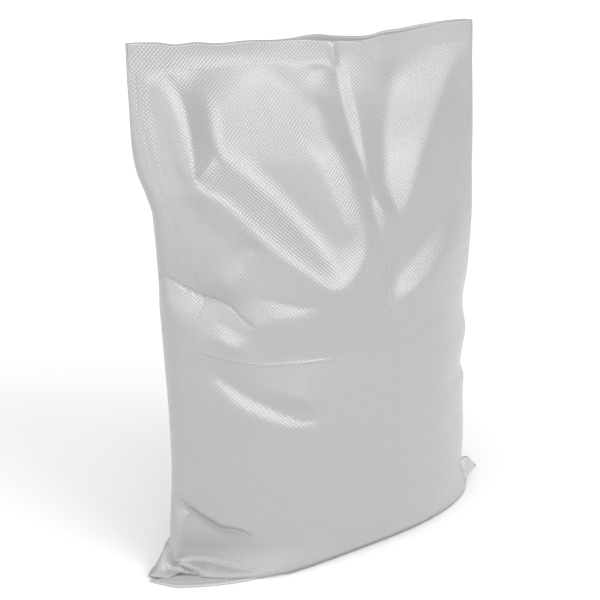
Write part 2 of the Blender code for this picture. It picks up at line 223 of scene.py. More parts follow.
# The mouth is pressed shut on the left and gapes on the right. Gape is the share of the section's depth
# that is left at a place across; the two rims are lines in the picture, right and down.
GAPE = ((-250, 0.25), (-60, 0.25), (20, 0.75), (70, 1.0), (130, 0.7), (200, 0.35), (250, 0.3))
FRONT_RIM = ((125, 43), (138, 42.6), (156, 42.8), (172, 44.6), (197, 42.6), (213, 43.6), (251, 40.6),
             (273, 40.3), (292, 39), (306, 38.6), (320, 39.6), (342, 40), (360, 39.4), (384, 34), (400, 31.6),
             (422, 26.7), (447, 21.6), (472, 19.3))
BACK_RIM = ((125, 43), (138, 42.4), (156, 42.4), (172, 44.2), (197, 42), (213, 43), (251, 40),
            (273, 39.6), (292, 37.6), (306, 35), (316, 34), (335, 35.3), (358, 35.5), (371, 34), (383, 30.4),
            (400, 28), (415, 25), (441, 21), (463, 19), (472, 19.3))
RIM_REACH = 0.15
near_rim = np.clip(1 - (HEIGHT - row_heights) / RIM_REACH, 0, 1)
near_rim = near_rim * near_rim * (3 - 2 * near_rim)
on_back = (shares > 0.5) | (shares < 0)
middle_y = MOUTH_LEAN * slack[:, None]
gape = smooth_through(GAPE, wall[-1, :, 0] / MM)[:, 0]
wall[:, :, 1] += (wall[:, :, 1] - middle_y) * (gape - 1) * near_rim[:, None]
right_px, down_px = in_picture(wall[-1])
wanted = np.where(
    on_back, smooth_through(BACK_RIM, right_px)[:, 0], smooth_through(FRONT_RIM, right_px)[:, 0]
)
metres_a_pixel = -((wall[-1] - eye) @ backward) * SENSOR_MM / (LENS_MM * PICTURE_SIDE)
rim_rise = (down_px - wanted) * metres_a_pixel / upward[2]
wall[:, :, 2] += near_rim[:, None] * rim_rise


def grid_normals(grid):
    """Outward unit normals of a wall grid whose columns run round the sack."""
    round_it = np.roll(grid, -1, axis=1) - np.roll(grid, 1, axis=1)
    up_it = np.gradient(grid, axis=0)
    normal = np.cross(round_it, up_it)
    return normal / np.maximum(np.linalg.norm(normal, axis=2, keepdims=True), 1e-12)


# Folds of the front, as lines in the picture: right, down, and millimetres towards the camera
FRONT_FOLDS = {
    "first_shoulder": ((158, 84, 4), (168, 100, 9), (175, 122, 12.5), (179, 140, 13), (184, 162, 13.5),
                       (189, 178, 14)),
    "left_panel": ((146, 86, 0), (154, 110, 0), (162, 135, 1), (170, 160, 2), (178, 184, 3)),
    "first_crest": ((163, 75, 2), (174, 88, 7), (184, 105, 10), (189, 124, 12), (191.5, 140, 12.5),
                    (194, 162, 13), (195, 182, 14)),
    "second_valley": ((199, 84, -2), (203, 95, -4), (206.5, 108, -6), (209.5, 124, -7), (213, 140, -7),
                      (219, 152, -7), (229, 163, -7), (239, 169, -6), (252, 178, -6), (266, 190, -5),
                      (279, 203, -5), (293, 219, -4), (313, 240, 0), (328, 258, 6), (339, 272, 12),
                      (344, 284, 17)),
    "second_valley_side": ((209, 84, -2), (213, 95, -4.5), (216.5, 108, -6.5), (219.5, 124, -7.5),
                           (224, 140, -7.5)),
    "upper_sweep_side": ((238, 153, -7), (248, 159, -6), (260, 168, -6), (274, 180, -5), (287, 193, -5),
                         (301, 209, -4), (321, 231, 0), (335, 250, 6)),
    "lower_sweep_side": ((206, 190, 14), (221, 197, 14.5), (232, 205, 14.5), (242, 214, 14.5),
                         (257, 230, 13.5), (269, 240, 13.5), (292, 258, 14.5), (311, 270, 15.5),
                         (324, 280, 16.5)),
    "corner_valley": ((219, 157, -3), (211, 165, 0), (204, 174, 5), (198, 181, 11)),
    "lower_sweep": ((195.5, 184, 14), (202, 195, 14.5), (216.5, 203, 15), (227.5, 211, 15), (237.5, 220, 15),
                    (252.5, 236, 14), (264.5, 246, 14), (287.5, 264, 15), (307, 276, 16), (321, 286, 17),
                    (334, 292, 18), (345, 292, 18)),
    "lower_sweep_foot": ((186, 204, 3), (201, 222, 3), (221, 240, 3), (240, 262, 2), (264, 284, 2),
                         (292, 301, 4), (330, 313, 7), (362, 311, 7)),
    "broad_crest": ((263, 68, 1), (277, 76, 6), (291, 90, 10), (303, 107, 13), (315, 122, 15), (329, 138, 16),
                    (339, 151, 17), (349, 172, 17), (355, 190, 17), (361, 207, 17.5), (367, 226, 18),
                    (370, 241, 18), (368, 256, 18), (360, 272, 18), (350, 286, 18)),
    "broad_crest_side": ((266, 94, 8), (279, 110, 11), (291, 126, 13), (305, 142, 15), (316, 156, 16),
                         (326, 177, 16.5), (334, 196, 17), (341, 212, 17.5), (348, 231, 18)),
    "hem_tuck": ((300, 70, 1.5), (318, 70, 6), (328, 78, 6), (330, 84, 4)),
    "small_tuck": ((303, 96, 11), (316, 108, 15), (327, 119, 14)),
    "strip_valley": ((336, 66, -1), (342, 97, 1), (348, 123, 3), (354.7, 147, 4), (361.5, 164, 6),
                     (366.6, 181, 7), (370, 197, 8), (376, 221, 8), (382, 242, 6), (386, 254, 4)),
    "strip_crest": ((345, 67, 1), (351, 90, 3.5), (356, 109, 5), (359.5, 126, 5.5), (362.4, 143, 6),
                    (366, 164, 7), (368.3, 183, 8)),
    "strip_tail": ((376, 200, 10), (386, 210, 13), (391, 221, 12), (390, 240, 7), (388, 254, 4)),
    "right_hollow": ((393, 74, -6), (388, 110, -6), (384, 140, -5), (384, 172, -3), (391, 200, -1),
                     (397, 225, -2), (396, 250, -3), (391, 275, -4)),
    "right_crest": ((455, 61, 4), (446, 85, 8), (436, 112, 11), (428, 138, 11), (420, 165, 11), (413, 190, 9),
                    (404, 212, 6)),
    "right_dark": ((462, 70, 0), (457, 95, 0), (453, 125, 0), (451, 150, -1), (451, 172, -2)),
    "right_sweep": ((463, 224, 5), (453, 245, 9), (441, 262, 11), (428, 277, 11), (414, 289, 9),
                    (402, 296, 4), (394, 298, 0)),
    "right_sweep_side": ((452, 190, -3), (440, 215, -4), (428, 238, -4), (415, 258, -4), (402, 276, -3),
                         (393, 288, -3)),
    "right_sweep_foot": ((461, 268, 3), (450, 281, 4), (433, 296, 5), (415, 306, 4), (398, 310, 2)),
    "brow_foot": ((252, 353, 0), (300, 356, -4), (350, 356, -5), (400, 354, -5), (436, 348, -4)),
    "rim_fold": ((451, 46, 1), (458, 58, 3), (466, 76, 1)),
    "waist_valley": ((158, 276, -1.5), (171, 279, -6), (186, 288, -9), (198, 294, -12), (206, 297, -14),
                     (222, 302, -9), (231, 307, -7), (240, 317, -5), (253, 327, -1)),
    "waist_rise": ((164, 299, 2), (178, 315, 5), (192, 328, 3)),
    "pinch_crest": ((211, 246, 3), (231, 247, 4), (253, 249, 3), (240, 267, 5), (228, 287, 7)),
    "pinch_fade": ((232, 292, 4), (255, 298, -1), (285, 304, 0), (317, 309, 4)),
    "pinch_apron": ((253, 328, 3), (262, 324, 6), (280, 319, 6), (302, 317, 6)),
    "under_pinch": ((214, 320, -4), (230, 328, -5), (246, 338, -3)),
    "under_pinch_crest": ((209, 333, 3), (222, 342, 6), (238, 351, 4)),
    "belly_trough": ((215, 374, -3), (232, 386, -5), (250, 398, -5), (275, 409, -5), (300, 417, -4),
                     (315, 419, -2)),
    "belly_crest": ((208, 378, 1), (222, 394, 4), (240, 409, 6), (262, 420, 6), (290, 429, 5), (315, 428, 3),
                    (351, 424, 0)),
    "belly_tuck": ((266, 389, 0), (286, 395, 3.5), (305, 401, 5), (313, 405, 3.5), (323, 414, 0)),
    "belly_tuck_foot": ((288, 404, -1), (304, 409, -2), (316, 415, -1)),
    "right_nick": ((459, 311, 0), (440, 323, 5), (417, 338, 1.5)),
    "right_nick_foot": ((454, 306, 0), (436, 318, -1.5), (416, 331, -1.5)),
    "corner_overhang": ((173, 485, 0), (177, 493, -1), (183, 500, -2), (190, 506.5, -3), (201, 514, -3),
                        (211, 520, -3), (221, 525.5, -2), (232, 527, 0), (243, 530, 1), (256, 535, 0)),
    "corner_undercut": ((174, 489, -5), (178, 497, -9), (184, 504, -13), (190, 510.5, -14), (201, 518, -14),
                        (211, 524, -14), (221, 530, -12), (232, 533, -9), (243, 536, -6), (256, 539, -2)),
    "flap_crease": ((175, 561, -9), (191, 559, -15), (200.6, 558.5, -18), (212.7, 560, -18),
                    (227, 564.5, -16), (245.5, 568, -12), (259, 570.6, -8), (273, 572, -4), (288, 573, 0)),
    "flap_foot": ((206, 577, -1), (232, 578, 0), (258, 577, 0), (283, 575, 0)),
    "ear_step": ((170, 543, -3), (172.5, 555, -5), (177, 562, -6), (187, 566, -6), (199, 570, -3),
                 (204, 575, 0)),
    "ear_step_foot": ((166, 545, -6), (168, 556, -12), (172, 566, -15), (183, 570.5, -16), (195, 575, -12),
                      (199, 578, -7)),
    "ear_tip": ((154, 579, 0), (170, 580, -1), (190, 580, -2)),
    "still_belly": ((196, 430, 1.5), (240, 440, 1.5), (300, 450, 0), (360, 450, 0), (440, 420, 0)),
    "still_foot": ((300, 540, 0), (350, 520, 0), (420, 484, 0)),
    "skirt_ridge": ((188, 513, -4), (183.6, 525, -3), (179, 546, -3), (175.5, 560, -4)),
    "stitch_line": ((129, 76, 0), (153, 73, 0), (182, 70.7, 0), (204, 68.5, 0), (251, 65.6, 0),
                    (288, 62.6, 0), (309, 63.8, 0), (333, 64.8, 0), (364, 61.5, 0), (404, 54, 0),
                    (443, 44, 0), (472, 40.4, 0)),
    "hem_pleat": ((331, 43, 3), (333, 52, 3.5), (334, 62, 2)),
    "hem_pleat_left": ((325, 44, -1), (326, 53, -1.5), (328, 62, -1)),
    "hem_pleat_right": ((339, 44, -2), (340, 53, -2), (340, 61, -1)),
    "hem_panel": ((344, 44, 1), (358, 43, 1.5), (361, 50, 0.5)),
    "hem_hollow": ((180, 54, -1), (220, 55, -2), (268, 53, -1)),
}
# Folds that stay sharp; the others are blurred more. The blurs and the reach round a sharp fold are in cells.
CRISP_FOLDS = ("first_crest", "pinch_fade", "under_pinch", "under_pinch_crest", "belly_trough", "belly_crest",
               "belly_tuck", "corner_valley", "lower_sweep", "strip_valley", "strip_crest", "waist_valley",
               "corner_overhang", "corner_undercut", "flap_crease", "ear_step", "ear_step_foot", "hem_pleat",
               "stitch_line")
CELL = 1.25
CRISP_BLUR, SOFT_BLUR, CRISP_REACH = 1.5, 3.4, 3.5
CRISP_GAIN = 2.5
TAUT_ROUNDS = 900
TAUT_STEP = 1.95


def taut(lines, wide, high, cell, still):
    """Heights on a grid of cells, drawn taut like cloth between lines of known height.

    Each line is points of (right, down, height). still marks the cells that stay at 0.
    """
    height = np.zeros((high, wide))
    held = still.copy()
    for line in lines:
        knots = np.array(line, float)
        gone = np.concatenate([[0], np.cumsum(np.hypot(*np.diff(knots[:, :2], axis=0).T))])
        at = np.linspace(0, gone[-1], int(4 * gone[-1] / cell))
        path = smooth_through(np.column_stack([gone, knots]), at)
        column, row = (path[:, :2] / cell).astype(int).T
        height[row, column] = path[:, 2]
        held[row, column] = True
    free = ~held
    odd = np.add.outer(np.arange(high), np.arange(wide)) % 2 == 1
    for _ in range(TAUT_ROUNDS):
        for now in (free & odd, free & ~odd):
            above, below = height[:-2, 1:-1], height[2:, 1:-1]
            left, right = height[1:-1, :-2], height[1:-1, 2:]
            around = np.zeros_like(height)
            around[1:-1, 1:-1] = (above + below + left + right) / 4
            height += TAUT_STEP * np.where(now, around - height, 0.0)
    return height


def softened(height, spread):
    """The grid of heights after a round blur whose standard deviation is spread cells."""
    reach = int(3 * spread) + 1
    weights = np.exp(-0.5 * (np.arange(-reach, reach + 1) / spread) ** 2)
    weights /= weights.sum()
    for axis in (0, 1):
        height = sum(w * np.roll(height, k - reach, axis) for k, w in enumerate(weights))
    return height


def sampled(grid, right, down):
    """Values of a grid between its cell centres."""
    right = np.clip(right - 0.5, 0, grid.shape[1] - 1.001)
    down = np.clip(down - 0.5, 0, grid.shape[0] - 1.001)
    column, row = right.astype(int), down.astype(int)
    a, b = right - column, down - row
    top = grid[row, column] * (1 - a) + grid[row, column + 1] * a
    foot = grid[row + 1, column] * (1 - a) + grid[row + 1, column + 1] * a
    return top * (1 - b) + foot * b


# The lowest row touches down, except at the left, where it rests on the sewn end
SOLE = 0.0008
SOLE_FROM = -0.105
wall[0, wall[0, :, 0] > SOLE_FROM, 2] = SOLE

# The folds act where the wall faces the camera, and fade out as it turns away
SEEN_FACING, FULL_FACING = 0.02, 0.25
EDGE_BLUR, EDGE_SHARE = 2.0, 0.15
to_eye = eye - wall
to_eye /= np.linalg.norm(to_eye, axis=2, keepdims=True)
facing = (grid_normals(wall) * to_eye).sum(2)
right_px, down_px = in_picture(wall)
cells = int(PICTURE_SIDE / CELL)
seen = facing > SEEN_FACING
hits = np.zeros((cells, cells))
hits[(down_px[seen] / CELL).astype(int), (right_px[seen] / CELL).astype(int)] = 1.0
outside = softened(hits, EDGE_BLUR) < EDGE_SHARE
drawn = taut(FRONT_FOLDS.values(), cells, cells, CELL, outside)
crisp = np.zeros((cells, cells))
for name in CRISP_FOLDS:
    for start, stop in zip(FRONT_FOLDS[name], FRONT_FOLDS[name][1:]):
        steps = np.linspace(0, 1, 60)
        run_right = np.interp(steps, (0, 1), (start[0], stop[0]))
        run_down = np.interp(steps, (0, 1), (start[1], stop[1]))
        crisp[(run_down / CELL).astype(int), (run_right / CELL).astype(int)] = 1.0
crisp = np.clip(softened(crisp, CRISP_REACH) * CRISP_REACH * CRISP_GAIN, 0, 1)
front_relief = crisp * softened(drawn, CRISP_BLUR) + (1 - crisp) * softened(drawn, SOFT_BLUR)
turned_in = np.clip(facing / FULL_FACING, 0, 1)
lift = sampled(front_relief, right_px / CELL, down_px / CELL) * MM
wall += (lift * turned_in * turned_in * (3 - 2 * turned_in))[:, :, None] * to_eye

FAR_AWAY = 99.0


def distance_to(line, right, down):
    """Distance from each place to a line of straight runs, at most FAR_AWAY."""
    nearest = np.full(right.shape, FAR_AWAY)
    for (x0, y0), (x1, y1) in zip(line, line[1:]):
        run_x, run_y = x1 - x0, y1 - y0
        t = np.clip(((right - x0) * run_x + (down - y0) * run_y) / (run_x**2 + run_y**2), 0, 1)
        nearest = np.minimum(nearest, np.hypot(right - x0 - t * run_x, down - y0 - t * run_y))
    return nearest


# Slack folds of the back panel, which the photo doesn't show: height and half width in millimetres, and a
# line of places across and up. They lie between two shares of the girth and ease in from both.
BACK_FOLDS = (
    (7, 24, ((-130, 590), (-95, 500), (-40, 410))), (8, 26, ((-20, 600), (5, 510), (10, 420))),
    (7, 24, ((150, 580), (110, 490), (60, 415))), (-3, 18, ((-75, 560), (-45, 480), (-15, 400))),
    (-3, 18, ((75, 560), (60, 480), (35, 400))), (-5, 20, ((-190, 372), (-60, 356), (60, 360), (185, 378))),
    (5, 22, ((-170, 330), (-40, 316), (90, 322))), (-3, 16, ((60, 250), (150, 232), (200, 236))),
)
BACK_FROM, BACK_TO, BACK_EASE = 0.56, 0.92, 0.06
back_x, back_z = wall[:, :, 0] / MM, wall[:, :, 2] / MM
back_lift = sum(
    height * np.exp(-(distance_to(line, back_x, back_z) / half_width) ** 2)
    for height, half_width, line in BACK_FOLDS
)
on_back_panel = np.clip(np.minimum(shares - BACK_FROM, BACK_TO - shares) / BACK_EASE, 0, 1)
wall[:, :, 1] += back_lift * on_back_panel * MM

# Rings that close the base, as shares of the lowest section
BASE_RINGS = (0.75, 0.4, 0.05)


def cloth_mesh(name, grid, thick, along, inner_rows):
    """A closed wall from a grid: outer skin, rim, inner skin on some of the rows, and a flat base on both.

    Its UV map is in metres of the flat cloth: round the tube, and up along it.
    """
    rows, columns = grid.shape[:2]
    inner = grid - thick * grid_normals(grid)
    inner[:, :, 2] = np.maximum(inner[:, :, 2], 2 * thick)
    skins = [grid[row] for row in range(rows)] + [inner[row] for row in inner_rows]
    heights = list(along) + [along[row] for row in inner_rows]
    outer_middle, inner_middle = grid[0].mean(0), inner[0].mean(0)
    under = [outer_middle + (grid[0] - outer_middle) * shrink for shrink in BASE_RINGS]
    for ring in under:
        ring[:, 2] = row_heights[0]
    over = [inner_middle + (inner[0] - inner_middle) * shrink for shrink in BASE_RINGS]
    skins = under[::-1] + skins + over
    heights = [0.0] * len(under) + heights + [0.0] * len(over)
    points = np.concatenate(skins)
    count = len(skins)
    ids = np.arange(count * columns).reshape(count, columns)
    nexts = np.roll(ids, -1, axis=1)
    quads = np.stack([ids[:-1], nexts[:-1], nexts[1:], ids[1:]], 2).reshape(-1, 4)
    faces = quads.tolist() + [ids[0][::-1].tolist(), ids[-1].tolist()]
    mesh = bpy.data.meshes.new(name)
    mesh.from_pydata(points.tolist(), [], faces)
    u_left = np.tile(shares, (count - 1, 1)) * 2 * FLAT_WIDTH
    u_right = np.tile(np.append(shares[1:], 1 + shares[0]), (count - 1, 1)) * 2 * FLAT_WIDTH
    v = np.array(heights)
    v_low = np.repeat(v[:-1, None], columns, 1)
    v_high = np.repeat(v[1:, None], columns, 1)
    corners = np.stack([
        np.stack([u_left, v_low], 2), np.stack([u_right, v_low], 2),
        np.stack([u_right, v_high], 2), np.stack([u_left, v_high], 2),
    ], 2).reshape(-1, 2)
    caps = np.zeros((2 * columns, 2))
    layer = mesh.uv_layers.new(name="cloth")
    layer.data.foreach_set("uv", np.concatenate([corners, caps]).astype(np.float32).ravel())
    mesh.shade_smooth()
    mesh.update()
    return mesh


middle_column = int(np.argmin(np.abs(shares - 0.25)))
along_cloth = np.concatenate([
    [0], np.cumsum(np.linalg.norm(np.diff(wall[:, middle_column], axis=0), axis=1))
])
# The inner skin takes every second row of the neck and every third below it, from the mouth down
NECK_ROW = 150
inner_rows = list(range(len(row_heights) - 1, NECK_ROW, -2)) + list(range(NECK_ROW, -1, -3))
tube = bpy.data.objects.new(
    "woven_tube", cloth_mesh("woven_tube", wall, CLOTH_THICK, along_cloth, inner_rows)
)
bpy.context.scene.collection.objects.link(tube)

# Creases too thin for the mesh, as lines in the picture with their half width in pixels and their height in
# millimetres. Each becomes an attribute, the distance to the line in pixels; the material gives it relief.
CREASES = {
    "lay_flat_crease": (1.3, -0.5, ((137, 75), (141, 121), (155, 179), (174, 227), (197, 290))),
    "lay_flat_twin": (1.3, 0.4, ((143, 75), (147, 121), (161, 179), (180, 227), (202, 288))),
    "lower_lay_flat": (1.5, -0.5, ((205, 298), (199, 316), (196, 326), (192, 351), (193, 371), (192, 388),
                                   (189, 411), (189, 460))),
    "fill_line": (1.4, 0.8, ((199, 350.6), (216, 357), (232, 361), (259, 365), (279, 365), (299, 363),
                             (319, 361), (330, 360))),
    "packing_crease": (1.1, -0.5, ((387, 256), (389, 308), (393, 341), (396, 370), (396, 427))),
    "waist_pinch": (1.7, -1.3, ((158, 276), (171, 279), (186, 288), (198, 294), (206, 297), (222, 302),
                                (231, 307), (240, 317), (253, 327))),
    "overhang_lip": (1.6, -1.1, ((176, 494), (182, 501.5), (190, 508), (200.6, 515.5), (210, 521.5),
                                 (220, 527.6), (232, 529), (240.6, 531), (250, 535))),
    "flap_lip": (1.4, 0.7, ((175, 561), (191, 559), (200.6, 558.5), (212.7, 560), (227, 564.5), (245.5, 568),
                            (259, 570.6), (273, 572), (288, 573))),
}
first = len(BASE_RINGS) * len(shares)
for name, (half_width, crease_height, line) in CREASES.items():
    off_line = np.full(len(tube.data.vertices), FAR_AWAY, np.float32)
    off_wall = np.where(facing > 0, distance_to(line, right_px, down_px), FAR_AWAY)
    off_line[first : first + facing.size] = off_wall.ravel()
    tube.data.attributes.new(name, "FLOAT", "POINT").data.foreach_set("value", off_line)


def linear(hex_colour):
    """Linear colour with alpha from an sRGB hex value."""
    parts = [int(hex_colour[i : i + 2], 16) / 255 for i in (1, 3, 5)]
    return (*[p / 12.92 if p <= 0.04045 else ((p + 0.055) / 1.055) ** 2.4 for p in parts], 1.0)


def add_node(tree, kind, links=(), **settings):
    """Adds a node with its properties, and gives each named or numbered input a value or another's output."""
    node = tree.nodes.new(kind)
    for key, value in settings.items():
        setattr(node, key, value)
    for key, value in dict(links).items():
        if isinstance(value, bpy.types.NodeSocket):
            tree.links.new(value, node.inputs[key])
        else:
            node.inputs[key].default_value = value
    return node


def woven_polypropylene(name, tint, roughness, weave_depth, creases):
    """Laminated woven polypropylene: white tapes about 2.5 mm wide under a clear film.

    The film gives a satin gloss, and each tape's crown a small glint, so the weave shows as rows of dots.
    Creases are grooves and ridges across it, each by the attribute that holds the distance to its line.
    """
    made = bpy.data.materials.new(name)
    made.use_nodes = True
    tree = made.node_tree
    shader = tree.nodes["Principled BSDF"]
    place = add_node(tree, "ShaderNodeUVMap", uv_map="cloth").outputs["UV"]
    split = add_node(tree, "ShaderNodeSeparateXYZ", {0: place})
    waves = []
    for axis in (0, 1):
        angle = add_node(
            tree, "ShaderNodeMath", {0: split.outputs[axis], 1: math.pi / TAPE}, operation="MULTIPLY"
        ).outputs[0]
        waves.append(add_node(tree, "ShaderNodeMath", {0: angle}, operation="SINE").outputs[0])
    weave = add_node(tree, "ShaderNodeMath", {0: waves[0], 1: waves[1]}, operation="MULTIPLY").outputs[0]
    tone = add_node(tree, "ShaderNodeMapRange", {
        "Value": weave, "From Min": -1.0, "From Max": 1.0, "To Min": 0.0, "To Max": 1.0,
    }).outputs["Result"]
    # A Mix node keeps its colours in inputs 6 and 7 and gives them out at output 2
    colour = add_node(
        tree, "ShaderNodeMix", {0: tone, 6: linear(tint[0]), 7: linear(tint[1])}, data_type="RGBA"
    ).outputs[2]
    tree.links.new(colour, shader.inputs["Base Color"])
    relief = add_node(tree, "ShaderNodeMath", {0: tone, 1: weave_depth}, operation="MULTIPLY").outputs[0]
    for crease, (half_width, crease_height, _) in creases.items():
        off_line = add_node(tree, "ShaderNodeAttribute", attribute_name=crease).outputs["Fac"]
        share = add_node(tree, "ShaderNodeMath", {0: off_line, 1: half_width}, operation="DIVIDE").outputs[0]
        square = add_node(tree, "ShaderNodeMath", {0: share, 1: share}, operation="MULTIPLY").outputs[0]
        minus = add_node(tree, "ShaderNodeMath", {0: square, 1: -1.0}, operation="MULTIPLY").outputs[0]
        bell = add_node(tree, "ShaderNodeMath", {0: minus}, operation="EXPONENT").outputs[0]
        relief = add_node(
            tree, "ShaderNodeMath", {0: bell, 1: crease_height * MM, 2: relief}, operation="MULTIPLY_ADD"
        ).outputs[0]
    bump = add_node(tree, "ShaderNodeBump", {"Strength": 1.0, "Distance": 1.0, "Height": relief})
    tree.links.new(bump.outputs[0], shader.inputs["Normal"])
    tree.links.new(bump.outputs[0], shader.inputs["Coat Normal"])
    shader.inputs["Roughness"].default_value = 0.45
    shader.inputs["IOR"].default_value = 1.49
    shader.inputs["Coat Weight"].default_value = 1.0
    shader.inputs["Coat Roughness"].default_value = roughness
    shader.inputs["Coat IOR"].default_value = 1.8
    return made


fabric = woven_polypropylene("laminated_woven_polypropylene", ("#949494", "#9a9a9a"), 0.24, 0.0003, CREASES)
tube.data.materials.append(fabric)
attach(tube, "root")
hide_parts("sack_tube")

# Hem of the mouth
# The top of the tube turned in once and sewn down, a second layer of the same cloth inside the rim.
HEM_DEPTH = 0.036
HEM_THICK = 0.0008
HEM_GAP = 0.0004


def band_mesh(name, outer, inner):
    """A closed band from two grids of rows, the second one inside the first."""
    columns = outer.shape[1]
    skins = np.concatenate([outer, inner[::-1]])
    count = len(skins)
    ids = np.arange(count * columns).reshape(count, columns)
    lower, upper = ids, np.roll(ids, -1, axis=0)
    faces = np.stack([lower, np.roll(lower, -1, axis=1), np.roll(upper, -1, axis=1), upper], 2).reshape(-1, 4)
    mesh = bpy.data.meshes.new(name)
    mesh.from_pydata(skins.reshape(-1, 3).tolist(), [], faces.tolist())
    u = np.append(shares, 1 + shares[0]) * 2 * FLAT_WIDTH
    v = np.append(np.arange(count), 0) * TAPE
    corners = np.zeros((count, columns, 4, 2))
    corners[:, :, :, 0] = np.stack([u[:-1], u[1:], u[1:], u[:-1]], 1)[None]
    corners[:, :, :, 1] = np.stack([v[:-1], v[:-1], v[1:], v[1:]], 1)[:, None]
    mesh.uv_layers.new(name="cloth").data.foreach_set("uv", corners.astype(np.float32).ravel())
    mesh.shade_smooth()
    return mesh


hem_rows = np.flatnonzero(row_heights > HEIGHT - HEM_DEPTH)
wall_out = grid_normals(wall)[hem_rows]
hem_outer = wall[hem_rows] - (CLOTH_THICK + HEM_GAP) * wall_out
hem_inner = hem_outer - HEM_THICK * wall_out
hem = bpy.data.objects.new("mouth_hem", band_mesh("mouth_hem", hem_outer, hem_inner))
bpy.context.scene.collection.objects.link(hem)
hem.data.materials.append(
    woven_polypropylene("turned_woven_polypropylene", ("#969696", "#9f9f9f"), 0.3, 0.0001, {})
)
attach(hem, "root")
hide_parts("mouth_hem_turn")

# Thread of the mouth hem
# One row of chain stitch in white polyester: the needle thread lies outside as short dashes that dip into
# their holes, and the looper thread does the same inside the hem. Its line is places in the picture.
HEM_STITCH = 0.0095
THREAD_HALF = 0.00045
HEM_DASH_HALF, HEM_LOOP_HALF = 0.0037, 0.0042
THREAD_PROUD = 0.0002
HEM_ZONE = 0.60
STITCH_LINE = ((125, 76.5), (137.6, 74.5), (153, 73), (166, 71), (182, 70.7), (204, 68.5), (227, 67.8),
               (251, 65.6), (274, 64), (288, 62.6), (309, 63.8), (333, 64.8), (352, 63.3), (364, 61.5),
               (376, 59.5), (391, 56.2), (404, 54), (415, 51), (432, 46.8), (443, 44), (451, 42.6),
               (463, 40.4), (474, 40.0))


def stitch_tree():
    """Geometry nodes that lay short dashes of thread along a curve, one for each stitch."""
    tree = bpy.data.node_groups.new("row_of_stitches", "GeometryNodeTree")
    face = tree.interface
    face.new_socket("Path", in_out="INPUT", socket_type="NodeSocketGeometry")
    face.new_socket("Pitch", in_out="INPUT", socket_type="NodeSocketFloat")
    face.new_socket("Dash", in_out="INPUT", socket_type="NodeSocketVector")
    face.new_socket("Thread", in_out="INPUT", socket_type="NodeSocketMaterial")
    face.new_socket("Stitches", in_out="OUTPUT", socket_type="NodeSocketGeometry")
    given = add_node(tree, "NodeGroupInput").outputs
    places = add_node(
        tree, "GeometryNodeCurveToPoints", {"Curve": given["Path"], "Length": given["Pitch"]}, mode="LENGTH"
    )
    dash = add_node(tree, "GeometryNodeMeshUVSphere", {"Segments": 8, "Rings": 6, "Radius": 1.0})
    laid = add_node(tree, "GeometryNodeInstanceOnPoints", {
        "Points": places.outputs["Points"], "Instance": dash.outputs["Mesh"],
        "Rotation": places.outputs["Rotation"], "Scale": given["Dash"],
    })
    real = add_node(tree, "GeometryNodeRealizeInstances", {"Geometry": laid.outputs["Instances"]})
    dyed = add_node(
        tree, "GeometryNodeSetMaterial", {"Geometry": real.outputs["Geometry"], "Material": given["Thread"]}
    )
    add_node(tree, "NodeGroupOutput", {"Stitches": dyed.outputs["Geometry"]})
    return tree


stitches = stitch_tree()


def sewn(name, path, pitch, dash, thread):
    """A row of stitches along points, as one plain mesh."""
    curve = bpy.data.curves.new(name + "_path", "CURVE")
    curve.dimensions = "3D"
    spline = curve.splines.new("POLY")
    spline.points.add(len(path) - 1)
    spline.points.foreach_set("co", np.column_stack([path, np.ones(len(path))]).ravel())
    guide = bpy.data.objects.new(name + "_path", curve)
    bpy.context.scene.collection.objects.link(guide)
    modifier = guide.modifiers.new("stitches", "NODES")
    modifier.node_group = stitches
    values = {"Pitch": pitch, "Dash": dash, "Thread": thread}
    for item in stitches.interface.items_tree:
        if item.in_out == "INPUT" and item.name in values:
            modifier[item.identifier] = values[item.name]
    graph = bpy.context.evaluated_depsgraph_get()
    mesh = bpy.data.meshes.new_from_object(guide.evaluated_get(graph), depsgraph=graph)
    mesh.name = name
    guide.modifiers.remove(modifier)
    bpy.data.objects.remove(guide)
    bpy.data.curves.remove(curve)
    mesh.shade_smooth()
    row = bpy.data.objects.new(name, mesh)
    bpy.context.scene.collection.objects.link(row)
    return row


def spun_polyester(name, colour):
    """Spun polyester sewing thread: matt, slightly fuzzy white yarn under a millimetre thick."""
    made = bpy.data.materials.new(name)
    made.use_nodes = True
    shader = made.node_tree.nodes["Principled BSDF"]
    shader.inputs["Base Color"].default_value = linear(colour)
    shader.inputs["Roughness"].default_value = 0.7
    return made


# The sewn line crosses each column of the wall where its picture crosses the line of stitches
right_px, down_px = in_picture(wall)
top_rows = row_heights > HEM_ZONE
sewn_front = []
wall_normals = grid_normals(wall)
for column in np.flatnonzero((shares > 0.004) & (shares < 0.496)):
    below = down_px[:, column] - smooth_through(STITCH_LINE, right_px[:, column])[:, 0]
    row = np.flatnonzero(top_rows & (below <= 0))[0]
    t = below[row - 1] / (below[row - 1] - below[row])
    spot = wall[row - 1, column] + t * (wall[row, column] - wall[row - 1, column])
    sewn_front.append((spot, wall_normals[row, column]))
stitch_row = int(np.argmin(np.abs(row_heights - HEM_STITCH_HEIGHT)))
sewn_back = [
    (wall[stitch_row, column], wall_normals[stitch_row, column])
    for column in np.flatnonzero((shares > 0.504) & (shares < 0.996 + SHOWN_FROM))
]
sewn_places = np.array([spot for spot, out in sewn_front + sewn_back])
sewn_out = np.array([out for spot, out in sewn_front + sewn_back])
mouth_needle = sewn(
    "mouth_needle_thread_row", sewn_places + THREAD_PROUD * sewn_out, HEM_STITCH,
    (THREAD_HALF, THREAD_HALF, HEM_DASH_HALF), spun_polyester("white_needle_thread", "#bebebe")
)
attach(mouth_needle, "root")
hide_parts("mouth_needle_thread")
looper_depth = CLOTH_THICK + HEM_GAP + HEM_THICK + THREAD_PROUD
